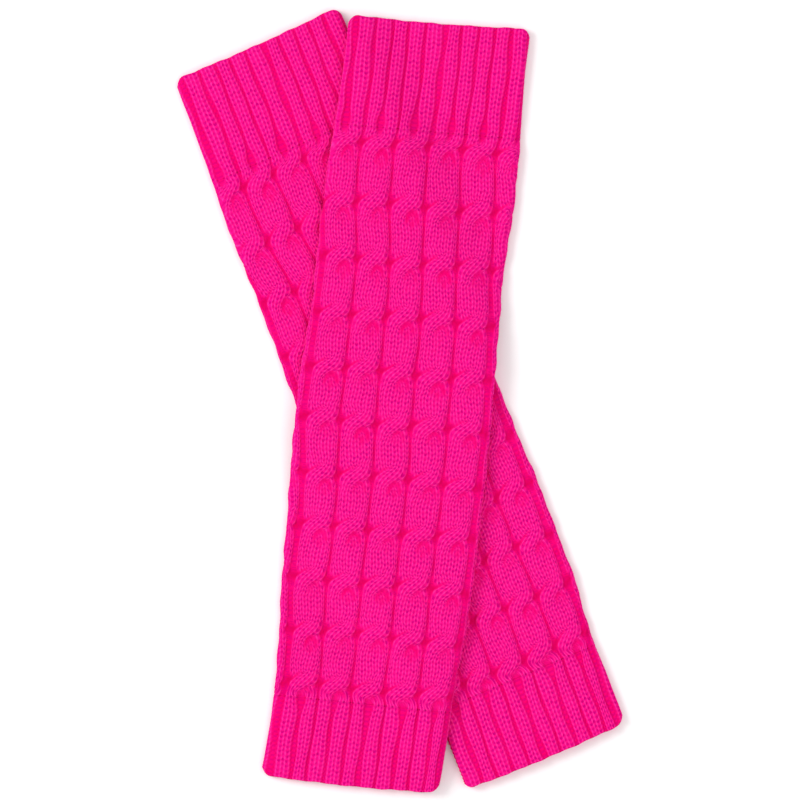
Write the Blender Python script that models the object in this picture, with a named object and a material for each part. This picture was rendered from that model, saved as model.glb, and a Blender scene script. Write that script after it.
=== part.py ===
"""A pair of cable-knit leg warmers, laid flat and crossed.

Each leg warmer is one flattened knitted tube, open at both ends: a ribbed knee cuff, a leg with cables and a
ribbed ankle cuff. The under one lies on the surface, and the upper one is draped over it. Sizes below are in
millimetres. Each leg warmer has its own flat coordinates: along runs from the knee edge to the ankle edge,
across runs from its left fold to its right fold, and wale counts cables across, from the first gutter.
"""

import math

import bpy
import numpy as np

MM = 0.001

# The wall, from the surface upwards: a plain back, the slit between the two layers, and the front.
BACK_WALL = 2.4
SLIT = 0.8
PURL_WALL = 1.5
EDGE_WALL = 2.7

# How far ribs and pods stand above the purl gutters, and how far a crossing's strands rise and dip from that.
RIB_RISE = 1.5
POD_RISE = 1.9
STRAND_RISE = 0.85
STRAND_DIP = 1.5

# The mouths of the tube gape a little, and their edges are rounded in thickness and at the corners.
MOUTH_GAPE = 1.3
MOUTH_DEPTH = 34.0
RIM_SETBACK = 1.3
RIM_SHARE = 0.45
CORNER_RADIUS = 5.5
CORNER_FADE = 14.0
RIB_SCALLOP = 0.45

# Half the floor of a purl gutter, as a share of a cable's width. Near a fold of the tube the first and the
# last gutter open so far inwards and outwards, where they lie within FOLD_NEAR millimetres of the fold.
GUTTER_HALF = 0.035
FOLD_PURL_IN = 0.06
FOLD_PURL_OUT = 0.25
FOLD_NEAR = 4.0

# A cable's crossing, as shares of the distance from one crossing to the next: half the stretch in which the
# strands change places, and how far the front one's bulge, the back one's dip and the pits beside them reach.
CROSS_REACH = 0.18
CROSS_BULGE = 0.16
CROSS_DIP = 0.13
PIT_REACH = 0.1

# Widths across a cable, in half cables: a rib's and a pod's half, how much narrower the pod is between two
# pits, a strand's half, and how much wider that is where the strand slants most.
RIB_HALF = 0.5 - 2 * GUTTER_HALF
POD_HALF = 1.0 - 2 * GUTTER_HALF
PIT_DEPTH = 0.16
STRAND_HALF = 0.46
STRAND_SLANT = 0.6

# The cables stray a little from their rows, and the knit turns from ribs to cables and back over a short way.
CABLES_ACROSS = 5
CROSS_WANDER = 0.02
WANDER_BY_CABLE = 1.7
WANDER_BY_CROSSING = 2.3
RIB_TO_CABLE = 7.5
LAST_CABLE_RUNOUT = 1.5

# The courses of the knit lean, and bow near the mouths.
COURSE_LEAN = -0.036
ANKLE_LEAN = 0.4
MOUTH_BOW = 1.2
BOW_FADE = 50.0

# Where the stretches of the tube meet, measured along from the knee edge, and the gap left between them.
KNEE_CUFF_LENGTH = 60.0
ANKLE_CUFF_START = 376.5
PIECE_GAP = 0.3

# The upper leg warmer clears the under one by this much, and comes down to the surface over this distance.
REST_GAP = 0.3
DRAPE_REACH = 28.0
DRAPE_START = 0.5

# Columns of points across a cable, in half cables from its middle. A cuff's follow its ribs.
CUFF_COLUMNS = (-1.0, -0.82, -0.18, 0.0, 0.18, 0.82)

# A leg's follow its pods, and the front strand's edges in a crossing. Each row holds a phase, as a share of
# the distance from one crossing to the next, then the gutter, the left foot, the left edge's low side and high
# side, the middle, the right edge's high side and low side, and the right foot.
LEG_COLUMNS = (
    (-0.2, -1.0, -0.91, -0.64, -0.3, 0.0, 0.3, 0.64, 0.91),
    (-0.1, -1.0, -0.91, -0.36, -0.1, 0.34, 0.7, 0.84, 0.91),
    (0.0, -1.0, -0.82, -0.72, -0.48, 0.0, 0.48, 0.72, 0.82),
    (0.1, -1.0, -0.91, -0.84, -0.7, -0.34, 0.1, 0.36, 0.91),
    (0.2, -1.0, -0.91, -0.64, -0.3, 0.0, 0.3, 0.64, 0.91),
)
FIRST_WALE = -0.5
LAST_WALE = 5.9

# The least gap between a leg's last rows of points.
END_ROW_GAP = 1.0

# A row for each section: the knee edge, its cuff's middle, eleven cable crossings, the ankle cuff's middle
# and its edge.
COLUMN_NAMES = ("along", "left", "right", "first_gutter", "last_gutter")
UPPER_SECTIONS = (
    (0.0, -48.4, 51.3, -54.5, 40.2),
    (35.2, -48.4, 51.6, -53.9, 40.4),
    (68.2, -50.0, 52.7, -54.5, 40.2),
    (101.8, -51.4, 53.0, -53.9, 42.9),
    (133.1, -50.9, 51.6, -49.5, 44.6),
    (163.4, -50.6, 52.7, -49.5, 48.1),
    (193.6, -52.2, 53.7, -49.9, 49.9),
    (222.2, -52.3, 54.7, -49.9, 51.4),
    (251.9, -51.6, 54.9, -46.8, 51.5),
    (281.1, -50.2, 54.9, -45.7, 51.2),
    (310.2, -49.5, 54.7, -46.0, 51.5),
    (338.8, -47.6, 53.5, -44.0, 51.2),
    (368.5, -46.5, 51.3, -42.9, 50.0),
    (395.5, -47.0, 50.4, -44.0, 49.0),
    (422.5, -48.4, 49.2, -44.6, 48.4),
)
UNDER_SECTIONS = (
    (0.0, -49.0, 49.5, -56.1, 38.5),
    (35.2, -49.7, 50.1, -55.8, 38.5),
    (68.2, -51.2, 50.6, -56.5, 38.1),
    (101.8, -52.8, 50.1, -56.1, 40.7),
    (133.1, -52.3, 50.3, -52.0, 42.1),
    (163.4, -53.0, 51.2, -52.1, 45.5),
    (193.6, -54.1, 51.7, -52.7, 47.1),
    (222.2, -53.9, 52.7, -52.9, 48.7),
    (251.9, -53.6, 52.4, -49.9, 48.4),
    (281.1, -52.8, 52.9, -49.0, 47.9),
    (310.2, -51.7, 52.4, -49.5, 48.0),
    (338.8, -49.8, 51.8, -47.6, 47.6),
    (368.5, -47.9, 48.9, -46.7, 46.3),
    (395.5, -46.8, 48.5, -48.0, 45.0),
    (423.7, -47.0, 48.0, -48.7, 44.3),
)
FIRST_CROSSING_ROW = 2
LAST_CROSSING_ROW = 12

# A row for each groove between ribs, of which every other one is a gutter between cables: its even place, how
# far it lies off that at the knee, among the cables and at the ankle, and half its floor at the knee and the
# ankle. All are shares of a cable's width.
GROOVE_NAMES = ("place", "knee_shift", "leg_shift", "ankle_shift", "knee_half", "ankle_half")
GROOVES = (
    (0.0, 0.07, 0.085, 0.04, 0.04, 0.05),
    (0.5, 0.04, 0.085, 0.13, 0.08, 0.07),
    (1.0, 0.11, 0.08, 0.11, 0.05, 0.03),
    (1.5, 0.10, 0.065, 0.12, 0.035, 0.045),
    (2.0, 0.08, 0.05, 0.12, 0.03, 0.04),
    (2.5, 0.06, 0.035, 0.14, 0.04, 0.08),
    (3.0, 0.13, 0.025, 0.13, 0.08, 0.03),
    (3.5, 0.12, 0.02, 0.15, 0.035, 0.06),
    (4.0, 0.09, 0.015, 0.12, 0.04, 0.03),
    (4.5, 0.07, 0.015, 0.09, 0.035, 0.05),
    (5.0, 0.07, 0.02, -0.02, 0.06, 0.03),
)

# Where the middle of each leg warmer lies, and how far its ankle end swings towards the left, in degrees.
UPPER_MIDDLE = (-2.6, -1.4)
UPPER_SWING = 6.61
UNDER_MIDDLE = (1.8, 0.2)
UNDER_SWING = -22.02

# How finely the plain faces are divided: the draped tube needs more columns and rows than the flat one. The
# underside's columns start where the folds end, at least a step in from the front's last column.
UNDERSIDE_STEP = 4.0
UPPER_UNDERSIDE_COLUMNS = 12
UNDER_UNDERSIDE_COLUMNS = 5
UPPER_INNER_COLUMNS = 12
UNDER_INNER_COLUMNS = 8
UPPER_INNER_STEP = 2
UNDER_INNER_STEP = 5
CUFF_INNER_STEP = 2
UPPER_CUFF_PITCH = 9.0
UNDER_CUFF_PITCH = 16.0

WOOL_COLOUR = (1.0, 0.009, 0.255, 1.0)
WOOL_ROUGHNESS = 0.9
SHARP_ANGLE = math.radians(50)

BASE_HEIGHT = BACK_WALL + SLIT + PURL_WALL
FOLD_RADIUS = BASE_HEIGHT / 2
FOLD_INSET = FOLD_RADIUS + POD_RISE / 4
FULL_HEIGHT = BASE_HEIGHT + POD_RISE + STRAND_RISE
CABLES_DRAWN = math.ceil(LAST_WALE) - math.floor(FIRST_WALE)


def smooth(x):
    """0 below 0, 1 above 1, and an even S between."""
    x = np.clip(x, 0.0, 1.0)
    return x * x * (3.0 - 2.0 * x)


def through(stations, values, at):
    """A smooth curve through a table's values."""
    slopes = np.gradient(values, stations)
    at = np.clip(at, stations[0], stations[-1])
    i = np.clip(np.searchsorted(stations, at, side="right") - 1, 0, len(stations) - 2)
    span = stations[i + 1] - stations[i]
    x = (at - stations[i]) / span
    start = (1.0 + 2.0 * x) * (1.0 - x) ** 2 * values[i] + x * (1.0 - x) ** 2 * span * slopes[i]
    end = x * x * (3.0 - 2.0 * x) * values[i + 1] - x * x * (1.0 - x) * span * slopes[i + 1]
    return start + end


class LegWarmer:
    """One flattened knitted tube: its sections, its place, and what it lies on."""

    def __init__(self, sections, middle, swing, lies_on=None):
        self.table = dict(zip(COLUMN_NAMES, np.array(sections).T))
        self.grooves = dict(zip(GROOVE_NAMES, np.array(GROOVES).T))
        self.middle = middle
        self.swing = math.radians(swing)
        self.lies_on = lies_on
        self.length = self.table["along"][-1]
        self.crossings = self.table["along"][FIRST_CROSSING_ROW : LAST_CROSSING_ROW + 1]

    def at(self, column, along):
        return through(self.table["along"], self.table[column], along)

    def place(self, along, across):
        """World x and y of a point given along and across."""
        down = along - self.length / 2
        cos, sin = math.cos(self.swing), math.sin(self.swing)
        x = self.middle[0] + across * cos - down * sin
        y = self.middle[1] - across * sin - down * cos
        return x, y

    def locate(self, x, y):
        """Along and across of a world point."""
        cos, sin = math.cos(self.swing), math.sin(self.swing)
        dx, dy = x - self.middle[0], y - self.middle[1]
        return self.length / 2 - dx * sin - dy * cos, dx * cos - dy * sin

    def off_centre(self, along, across):
        """-1 at the left fold, 0 in the middle and 1 at the right fold."""
        left, right = self.at("left", along), self.at("right", along)
        return np.clip((2.0 * across - left - right) / (right - left), -1.0, 1.0)

    def depth(self, along):
        """How far in from the nearer mouth."""
        return np.clip(np.minimum(along, self.length - along), 0.0, None)

    def gape(self, along, across):
        """How far the front layer is lifted near the mouths, most in the middle and not at the folds."""
        fade = 1.0 - smooth(self.depth(along) / MOUTH_DEPTH)
        return MOUTH_GAPE * fade * (1.0 - self.off_centre(along, across) ** 2)

    def lift(self, x, y):
        """How far what lies underneath holds this leg warmer off the surface."""
        if self.lies_on is None:
            return np.zeros_like(x)
        below = self.lies_on
        along, across = below.locate(x, y)
        beside = np.maximum(below.at("left", along) - across, across - below.at("right", along))
        beyond = np.maximum(-along, along - below.length)
        outside = np.hypot(np.maximum(beside, 0.0), np.maximum(beyond, 0.0))
        top = FULL_HEIGHT + REST_GAP + below.gape(along, across)
        return top * (1.0 - smooth((outside - DRAPE_START) / DRAPE_REACH))

    def course(self, along, across):
        """Along, once the courses of the knit lean, most at the knee, and bow a little near both mouths."""
        bow = MOUTH_BOW * self.off_centre(along, across) ** 2 * (1.0 - smooth(self.depth(along) / BOW_FADE))
        lean = COURSE_LEAN * (1.0 - (1.0 - ANKLE_LEAN) * along / self.length)
        return along + lean * across - bow

    def rounded_corner(self, along, across):
        """How far along a point near a mouth moves, so that the tube's four corners are round."""
        left, right = self.at("left", along), self.at("right", along)
        into = np.maximum(left + CORNER_RADIUS - across, across - right + CORNER_RADIUS) / CORNER_RADIUS
        arc = CORNER_RADIUS * (1.0 - np.sqrt(1.0 - np.clip(into, 0.0, 1.0) ** 2))
        near_knee = np.clip(1.0 - along / CORNER_FADE, 0.0, 1.0) ** 2
        near_ankle = np.clip(1.0 - (self.length - along) / CORNER_FADE, 0.0, 1.0) ** 2
        return arc * (near_knee - near_ankle)

    def phase(self, along):
        """How far past its nearest crossing a row is, as a share of the distance between crossings, and which
        crossing that is."""
        nearest = np.argmin(np.abs(along[..., None] - self.crossings), axis=-1)
        return (along - self.crossings[nearest]) / np.gradient(self.crossings)[nearest], nearest

    def cabled(self, along):
        """0 in the ribbed cuffs and 1 among the cables."""
        into = smooth((along - self.crossings[0] + RIB_TO_CABLE) / RIB_TO_CABLE)
        out = smooth((self.crossings[-1] + LAST_CABLE_RUNOUT + RIB_TO_CABLE - along) / RIB_TO_CABLE)
        return into * out

    def fold_opening(self, inside):
        """1 where a gutter lies by a fold, and 0 where it lies many millimetres inside or under it."""
        return smooth((inside + 1.25 * FOLD_NEAR) / FOLD_NEAR) * (1.0 - smooth(inside / FOLD_NEAR - 1.0))

    def spread(self, along, wales):
        """Where the wales of one row lie, once each groove has its own place and width."""
        table, cabled = self.grooves, self.cabled(along)
        cuff = "knee" if along < self.length / 2 else "ankle"
        centre = table["place"] + table[cuff + "_shift"] * (1.0 - cabled) + table["leg_shift"] * cabled
        half = table[cuff + "_half"] * (1.0 - cabled) + GUTTER_HALF * cabled
        left_half, right_half = half.copy(), half.copy()
        first = self.fold_opening(self.at("first_gutter", along) - self.at("left", along))
        last = self.fold_opening(self.at("right", along) - self.at("last_gutter", along))
        left_half[0] += FOLD_PURL_OUT * first
        right_half[0] += FOLD_PURL_IN * first
        left_half[-1] += FOLD_PURL_IN * last
        right_half[-1] += FOLD_PURL_OUT * last
        even = np.stack([table["place"] - GUTTER_HALF, table["place"] + GUTTER_HALF], axis=1).ravel()
        moved = np.stack([centre - left_half, centre + right_half], axis=1).ravel()
        even = np.concatenate([[even[0] - 1.0], even, [even[-1] + 1.0]])
        moved = np.concatenate([[even[0] + centre[0]], moved, [even[-1] + centre[-1] - CABLES_ACROSS]])
        return np.interp(wales, even, moved)

    def past_folds(self, along, wales):
        """Where the points of one row lie across, and how far along the knit they are past a fold's start."""
        first, last = self.at("first_gutter", along), self.at("last_gutter", along)
        seen = first + (last - first) * self.spread(along, wales) / CABLES_ACROSS
        past_right = np.maximum(seen - self.at("right", along) + FOLD_INSET, 0.0)
        past_left = np.maximum(self.at("left", along) + FOLD_INSET - seen, 0.0)
        return seen, past_right - past_left

    def flatness(self, along, wales):
        """1 where the knit lies flat, and 0 where it has begun to turn round a fold."""
        _, past = self.past_folds(along, wales)
        return 1.0 - smooth(np.abs(past) / FOLD_RADIUS)

    def relief(self, along, wale, flatness):
        """How far the knit stands above the purl gutters: cables on the leg, ribs on the cuffs."""
        cable = np.floor(wale)
        side = 2.0 * (wale - cable) - 1.0
        phase, nearest = self.phase(along)
        wander = CROSS_WANDER * np.sin(WANDER_BY_CABLE * cable + WANDER_BY_CROSSING * nearest)
        cabled = self.cabled(along)
        return ribs(side) * (1.0 - cabled) + cables(side, phase - wander, flatness) * cabled

    def front(self, along, wale):
        """Across and height of one row of points over the front and round both folds."""
        seen, past = self.past_folds(along[0], wale)
        turn = np.clip(np.abs(past) / FOLD_RADIUS, 0.0, math.pi)
        under = np.clip(np.abs(past) - math.pi * FOLD_RADIUS, 0.0, None)
        outward = np.sign(past)
        across = seen - past + outward * (FOLD_RADIUS * np.sin(turn) - under)
        facing_up = (1.0 + np.cos(turn)) / 2
        height = 2.0 * FOLD_RADIUS * facing_up + self.gape(along, across) * facing_up
        rise = self.relief(along, wale, self.flatness(along[0], wale)) * facing_up
        return across + outward * np.sin(turn) * rise, height + np.cos(turn) * rise

    def outer_ring(self, along, wales, underside_columns):
        """One row of points round the outside: the front, then the underside."""
        row = np.full(len(wales), along)
        across, height = self.front(row, wales)
        mouth = 1.0 - smooth(min(along, self.length - along) / RIM_SETBACK)
        above = height > FOLD_RADIUS
        height = height - above * mouth * (1.0 - RIM_SHARE) * PURL_WALL
        towards = 1.0 if along < self.length / 2 else -1.0
        scallop = towards * mouth * RIB_SCALLOP * (1.0 - ribs(2.0 * (wales % 1.0) - 1.0) / RIB_RISE)
        first = min(self.at("right", along) - FOLD_INSET, across[-1] - UNDERSIDE_STEP)
        last = max(self.at("left", along) + FOLD_INSET, across[0] + UNDERSIDE_STEP)
        back = np.linspace(first, last, underside_columns)
        across = np.concatenate([across, back])
        height = np.concatenate([height, np.zeros(underside_columns)])
        scallop = np.concatenate([scallop, np.zeros(underside_columns)])
        return self.finished(along, across, height, scallop)

    def inner_ring(self, along, columns):
        """One row of points round the slit inside, from its left end over the top and back at the bottom."""
        left = self.at("left", along) + EDGE_WALL
        right = self.at("right", along) - EDGE_WALL
        across = np.linspace(left, right, columns)
        top = BACK_WALL + SLIT + self.gape(np.full(columns, along), across)
        bottom = np.full(columns, BACK_WALL)
        top[[0, -1]] = BACK_WALL + SLIT / 2
        across = np.concatenate([across, across[-2:0:-1]])
        height = np.concatenate([top, bottom[-2:0:-1]])
        return self.finished(along, across, height, np.zeros(len(across)))

    def finished(self, along, across, height, scallop):
        """Points in world millimetres, with the courses leaning, the corners round and the drape added."""
        row = np.full(len(across), along)
        row = self.course(row + self.rounded_corner(row, across) + scallop, across)
        x, y = self.place(row, across)
        return np.stack([x, y, height + self.lift(x, y)], axis=1)


def crest(x):
    """A flat top with round shoulders: 1 at 0, and 0 from 1 outwards."""
    return np.sqrt(np.clip(1.0 - x**4, 0.0, 1.0))


def hump(x):
    """A bell: 1 at 0, and near 0 from 2 outwards."""
    return np.exp(-(x**2))


def ribs(side):
    """Two ribs to a cable's width: two knit wales each, with the purl ones drawn in between."""
    return RIB_RISE * crest((np.abs(side) - 0.5) / RIB_HALF)


def cables(side, phase, crossed):
    """A pod of six knit wales, at whose ends its right strand passes over its left one: fully where crossed
    is 1, and not where it is 0."""
    into = smooth((phase + CROSS_REACH) / (2.0 * CROSS_REACH))
    swap = STRAND_HALF * (1.0 - 2.0 * into)
    half = STRAND_HALF * (1.0 + STRAND_SLANT * 4.0 * into * (1.0 - into))
    front = (POD_RISE + crossed * STRAND_RISE * hump(phase / CROSS_BULGE)) * crest((side - swap) / half)
    pod_half = POD_HALF - crossed * PIT_DEPTH * hump(phase / PIT_REACH)
    pod = (POD_RISE - crossed * STRAND_DIP * hump(phase / CROSS_DIP)) * crest(side / pod_half)
    return np.maximum(front, pod)


def front_wales(sides):
    """The columns of points over the front, from a table that has a row of sides for each cable."""
    first_cable = math.floor(FIRST_WALE)
    wales = np.arange(first_cable, first_cable + len(sides))[:, None] + (sides + 1.0) / 2.0
    beyond = round((math.ceil(LAST_WALE) - LAST_WALE) * sides.shape[1])
    skipped = round((FIRST_WALE - first_cable) * sides.shape[1])
    return wales.ravel()[skipped : wales.size - beyond]


def cuff_wales(warmer, along):
    """The columns of points of a cuff's rows, which are all alike."""
    return front_wales(np.tile(CUFF_COLUMNS, (CABLES_DRAWN, 1)))


def leg_wales(warmer, along):
    """The columns of points of one of the leg's rows. A cable that turns round a fold keeps them straight."""
    phase, _ = warmer.phase(np.array(along))
    table = np.array(LEG_COLUMNS)
    straight = np.tile(table[0, 1:], (CABLES_DRAWN, 1))
    followed = np.array([np.interp(phase, table[:, 0], column) for column in table[:, 1:].T])
    cables_counted = math.floor(FIRST_WALE) + np.arange(CABLES_DRAWN)[:, None]
    flatness = warmer.flatness(along, cables_counted + (straight + 1.0) / 2.0)
    return front_wales(straight + flatness.min(axis=1, keepdims=True) * (followed - straight))


def leg_rows(warmer):
    """The leg's rows of points: five through each crossing and one at each pod's middle."""
    crossings = warmer.crossings
    spacing = np.gradient(crossings)
    rows = [at + columns[0] * gap for at, gap in zip(crossings, spacing) for columns in LEG_COLUMNS]
    rows += list((crossings[:-1] + crossings[1:]) / 2)
    start, end = KNEE_CUFF_LENGTH + PIECE_GAP / 2, ANKLE_CUFF_START - PIECE_GAP / 2
    inside = [row for row in rows if start + END_ROW_GAP < row < end - END_ROW_GAP]
    return np.array(sorted([start, end] + inside))


def cuff_rows(depth, pitch):
    """Rows in from a mouth: two for the rounded rim, one past the corner, then an even pitch."""
    steps = max(2, round((depth - CORNER_RADIUS) / pitch))
    return np.concatenate([[0.0, RIM_SETBACK], np.linspace(CORNER_RADIUS, depth, steps + 1)])


def knee_cuff_rows(pitch):
    return cuff_rows(KNEE_CUFF_LENGTH - PIECE_GAP / 2, pitch)


def ankle_cuff_rows(warmer, pitch):
    depth = warmer.length - ANKLE_CUFF_START - PIECE_GAP / 2
    return warmer.length - cuff_rows(depth, pitch)[::-1]


def every(rows, step):
    """The first and last rows and every step-th one between."""
    kept = list(rows[:-1:step])
    if len(kept) > 1 and len(rows) - 1 - step * (len(kept) - 1) < step / 2:
        kept.pop()
    return np.array(kept + [rows[-1]])


def tube_faces(first, rings, count, inward):
    """Triangles between neighbouring rings of the same count."""
    faces = []
    for ring in range(rings - 1):
        for i in range(count):
            a = first + ring * count + i
            b = first + ring * count + (i + 1) % count
            c, d = a + count, b + count
            pair = [(a, c, b), (b, c, d)]
            faces += [tri[::-1] for tri in pair] if inward else pair
    return faces


def ring_shares(ring, warmer):
    """How far round the tube a ring's points are: 0 to 1 over the front, 1 to 2 back along the underside."""
    along, across = warmer.locate(ring[:, 0], ring[:, 1])
    low, high = np.argmin(across), np.argmax(across)
    width = across[high] - across[low]
    index = (np.arange(len(ring)) - low) % len(ring)
    over = index <= (high - low) % len(ring)
    return np.where(over, (across - across[low]) / width, 1.0 + (across[high] - across) / width)


def rim_faces(outer_first, outer, inner_first, inner, warmer, flip):
    """Triangles that close an end, between an outer and an inner ring of unlike counts."""
    shares = [ring_shares(ring, warmer) for ring in (outer, inner)]
    starts = [int(np.argmin(share)) for share in shares]
    firsts = (outer_first, inner_first)
    counts = [len(outer), len(inner)]
    done = [0, 0]
    faces = []

    def corner(ring, step):
        return firsts[ring] + (starts[ring] + step) % counts[ring]

    def share_of(ring, step):
        return 2.0 if step == counts[ring] else shares[ring][(starts[ring] + step) % counts[ring]]

    while done != counts:
        outer_next = share_of(0, done[0] + 1) if done[0] < counts[0] else math.inf
        inner_next = share_of(1, done[1] + 1) if done[1] < counts[1] else math.inf
        ring = 0 if outer_next <= inner_next else 1
        a, b = corner(ring, done[ring]), corner(ring, done[ring] + 1)
        c = corner(1 - ring, done[1 - ring])
        tri = (a, b, c) if ring == 0 else (b, a, c)
        faces.append(tri[::-1] if flip else tri)
        done[ring] += 1
    return faces


def knitted_tube(warmer, rows, inner_rows, wales, underside_columns, inner_columns):
    """Points and faces of one closed wall: outside, slit inside, and a rim at each end."""
    outer = [warmer.outer_ring(row, wales(warmer, row), underside_columns) for row in rows]
    inner = [warmer.inner_ring(row, inner_columns) for row in inner_rows]
    points = np.concatenate(outer + inner)
    outer_count, inner_count = len(outer[0]), len(inner[0])
    inner_first = outer_count * len(outer)
    inner_last = inner_first + inner_count * (len(inner) - 1)
    faces = tube_faces(0, len(outer), outer_count, inward=False)
    faces += tube_faces(inner_first, len(inner), inner_count, inward=True)
    faces += rim_faces(0, outer[0], inner_first, inner[0], warmer, flip=False)
    faces += rim_faces(inner_first - outer_count, outer[-1], inner_last, inner[-1], warmer, flip=True)
    return points, faces


def wool(name):
    material = bpy.data.materials.new(name + "_wool")
    material.use_nodes = True
    shader = material.node_tree.nodes["Principled BSDF"]
    shader.inputs["Base Color"].default_value = WOOL_COLOUR
    shader.inputs["Roughness"].default_value = WOOL_ROUGHNESS
    shader.inputs["Metallic"].default_value = 0.0
    return material


def add_piece(collection, name, points, faces):
    mesh = bpy.data.meshes.new(name)
    mesh.from_pydata((points * MM).tolist(), [], faces)
    mesh.shade_smooth()
    mesh.set_sharp_from_angle(angle=SHARP_ANGLE)
    mesh.materials.append(wool(name))
    collection.objects.link(bpy.data.objects.new(name, mesh))


def leg_warmer_pieces(warmer, name, underside_columns, inner_columns, inner_step, cuff_pitch):
    """Name, points and faces of the three stretches of one leg warmer."""
    knee, leg, ankle = knee_cuff_rows(cuff_pitch), leg_rows(warmer), ankle_cuff_rows(warmer, cuff_pitch)
    stretches = (
        (name + "_knee_cuff", knee, every(knee, CUFF_INNER_STEP), cuff_wales),
        (name + "_cabled_leg", leg, every(leg, inner_step), leg_wales),
        (name + "_ankle_cuff", ankle, every(ankle, CUFF_INNER_STEP), cuff_wales),
    )
    for piece, rows, inner_rows, wales in stretches:
        yield piece, *knitted_tube(warmer, rows, inner_rows, wales, underside_columns, inner_columns)


def main():
    for thing in list(bpy.data.objects):
        bpy.data.objects.remove(thing, do_unlink=True)
    collection = bpy.data.collections.new("leg_warmers")
    bpy.context.scene.collection.children.link(collection)
    under = LegWarmer(UNDER_SECTIONS, UNDER_MIDDLE, UNDER_SWING)
    upper = LegWarmer(UPPER_SECTIONS, UPPER_MIDDLE, UPPER_SWING, lies_on=under)
    pieces = list(
        leg_warmer_pieces(
            under, "under", UNDER_UNDERSIDE_COLUMNS, UNDER_INNER_COLUMNS, UNDER_INNER_STEP, UNDER_CUFF_PITCH
        )
    )
    pieces += leg_warmer_pieces(
        upper, "upper", UPPER_UNDERSIDE_COLUMNS, UPPER_INNER_COLUMNS, UPPER_INNER_STEP, UPPER_CUFF_PITCH
    )
    every_point = np.concatenate([points for _, points, _ in pieces])
    low, high = every_point.min(axis=0), every_point.max(axis=0)
    centre = np.array([(low[0] + high[0]) / 2, (low[1] + high[1]) / 2, 0.0])
    for name, points, faces in pieces:
        add_piece(collection, name, points - centre, faces)


main()
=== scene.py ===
"""Looks of a pair of cable-knit leg warmers, laid flat and crossed.

Each stretch of knitted tube is one closed wall whose outer points follow the wales and the courses of the
knit: four points to a knit wale, two to a purl one and four to a course. Sizes are in millimetres and become
metres as a mesh is made. Each leg warmer has its own flat coordinates: along runs from the knee edge to the
ankle edge, across runs from the left fold to the right fold, and wale counts cables across, from the first
gutter. A phase is a distance along from the nearest crossing of a cable, as a share of the distance from one
crossing to the next.
"""

import math

import bpy
import numpy as np
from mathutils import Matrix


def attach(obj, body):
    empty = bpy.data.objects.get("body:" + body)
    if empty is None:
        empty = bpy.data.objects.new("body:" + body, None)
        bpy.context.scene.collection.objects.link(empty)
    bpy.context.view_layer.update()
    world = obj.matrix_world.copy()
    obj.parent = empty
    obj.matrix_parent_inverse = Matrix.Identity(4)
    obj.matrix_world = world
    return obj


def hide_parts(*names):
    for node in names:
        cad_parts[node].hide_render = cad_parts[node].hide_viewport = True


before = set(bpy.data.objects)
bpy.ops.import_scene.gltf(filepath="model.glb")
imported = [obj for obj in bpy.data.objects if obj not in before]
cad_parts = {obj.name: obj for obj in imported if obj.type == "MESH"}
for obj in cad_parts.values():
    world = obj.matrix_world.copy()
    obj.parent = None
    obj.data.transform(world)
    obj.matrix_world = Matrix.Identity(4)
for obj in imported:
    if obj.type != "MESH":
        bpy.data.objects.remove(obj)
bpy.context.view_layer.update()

MM = 0.001

# The wall, from the surface upwards: a plain back, the slit between the two layers, and the front.
BACK_WALL = 2.4
SLIT = 0.8
PURL_WALL = 1.5
BASE_HEIGHT = BACK_WALL + SLIT + PURL_WALL
FOLD_RADIUS = BASE_HEIGHT / 2

# How far ribs and pods stand above the purl gutters, and how far a crossing's strands rise and dip from that.
# A fold starts to curve FOLD_INSET inside its outline.
RIB_RISE = 1.5
POD_RISE = 1.9
STRAND_RISE = 0.7
STRAND_DIP = 1.5
FOLD_INSET = FOLD_RADIUS + POD_RISE / 4
FULL_HEIGHT = BASE_HEIGHT + POD_RISE + STRAND_RISE

# The mouths of the tube gape a little: how far, and how far inwards. Their edges are rounded over a short
# way, RIM_SETBACK, where RIM_SHARE of the front's purl wall is left and ribs and stitches are lower by
# RIM_LOWERED. Their corners are rounded too, by moves that fade inwards, and an arc stops short of its end.
MOUTH_GAPE = 1.3
MOUTH_DEPTH = 34.0
RIM_SETBACK = 1.3
RIM_SHARE = 0.45
RIM_LOWERED = 0.4
CORNER_RADIUS = 5.5
CORNER_FADE = 14.0
CORNER_LEFT = 0.03

# A mouth's edge draws in between its ribs, which ends a little way inside. It also waves: how far, and how
# fast each wave turns from one millimetre to the next.
RIB_SCALLOP = 0.5
SCALLOP_REACH = 3.5
EDGE_WAVE = 0.3
EDGE_WAVES = (0.28, 0.61)

# Half the floor of a purl gutter, as a share of a cable's width. Near a fold of the tube the first and the
# last gutter open so far inwards and outwards. They begin to under the fold, FOLD_UNDER times FOLD_NEAR
# millimetres past its edge, and have stopped twice FOLD_NEAR inside it.
GUTTER_HALF = 0.025
FOLD_PURL_IN = 0.05
FOLD_PURL_OUT = 0.04
FOLD_NEAR = 4.0
FOLD_UNDER = 1.25

# A cable's crossing, in phases: half the stretch in which the strands change places, how far the front one's
# bulge, the back one's dip and the pits beside them reach, and over what distance the stitches turn back to
# straight columns. The dip is less by the share DIP_EASED on the pod's right.
CROSS_REACH = 0.24
CROSS_BULGE = 0.16
CROSS_DIP = 0.13
PIT_REACH = 0.1
STRAIGHTEN = 0.12
DIP_EASED = 0.6

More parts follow.
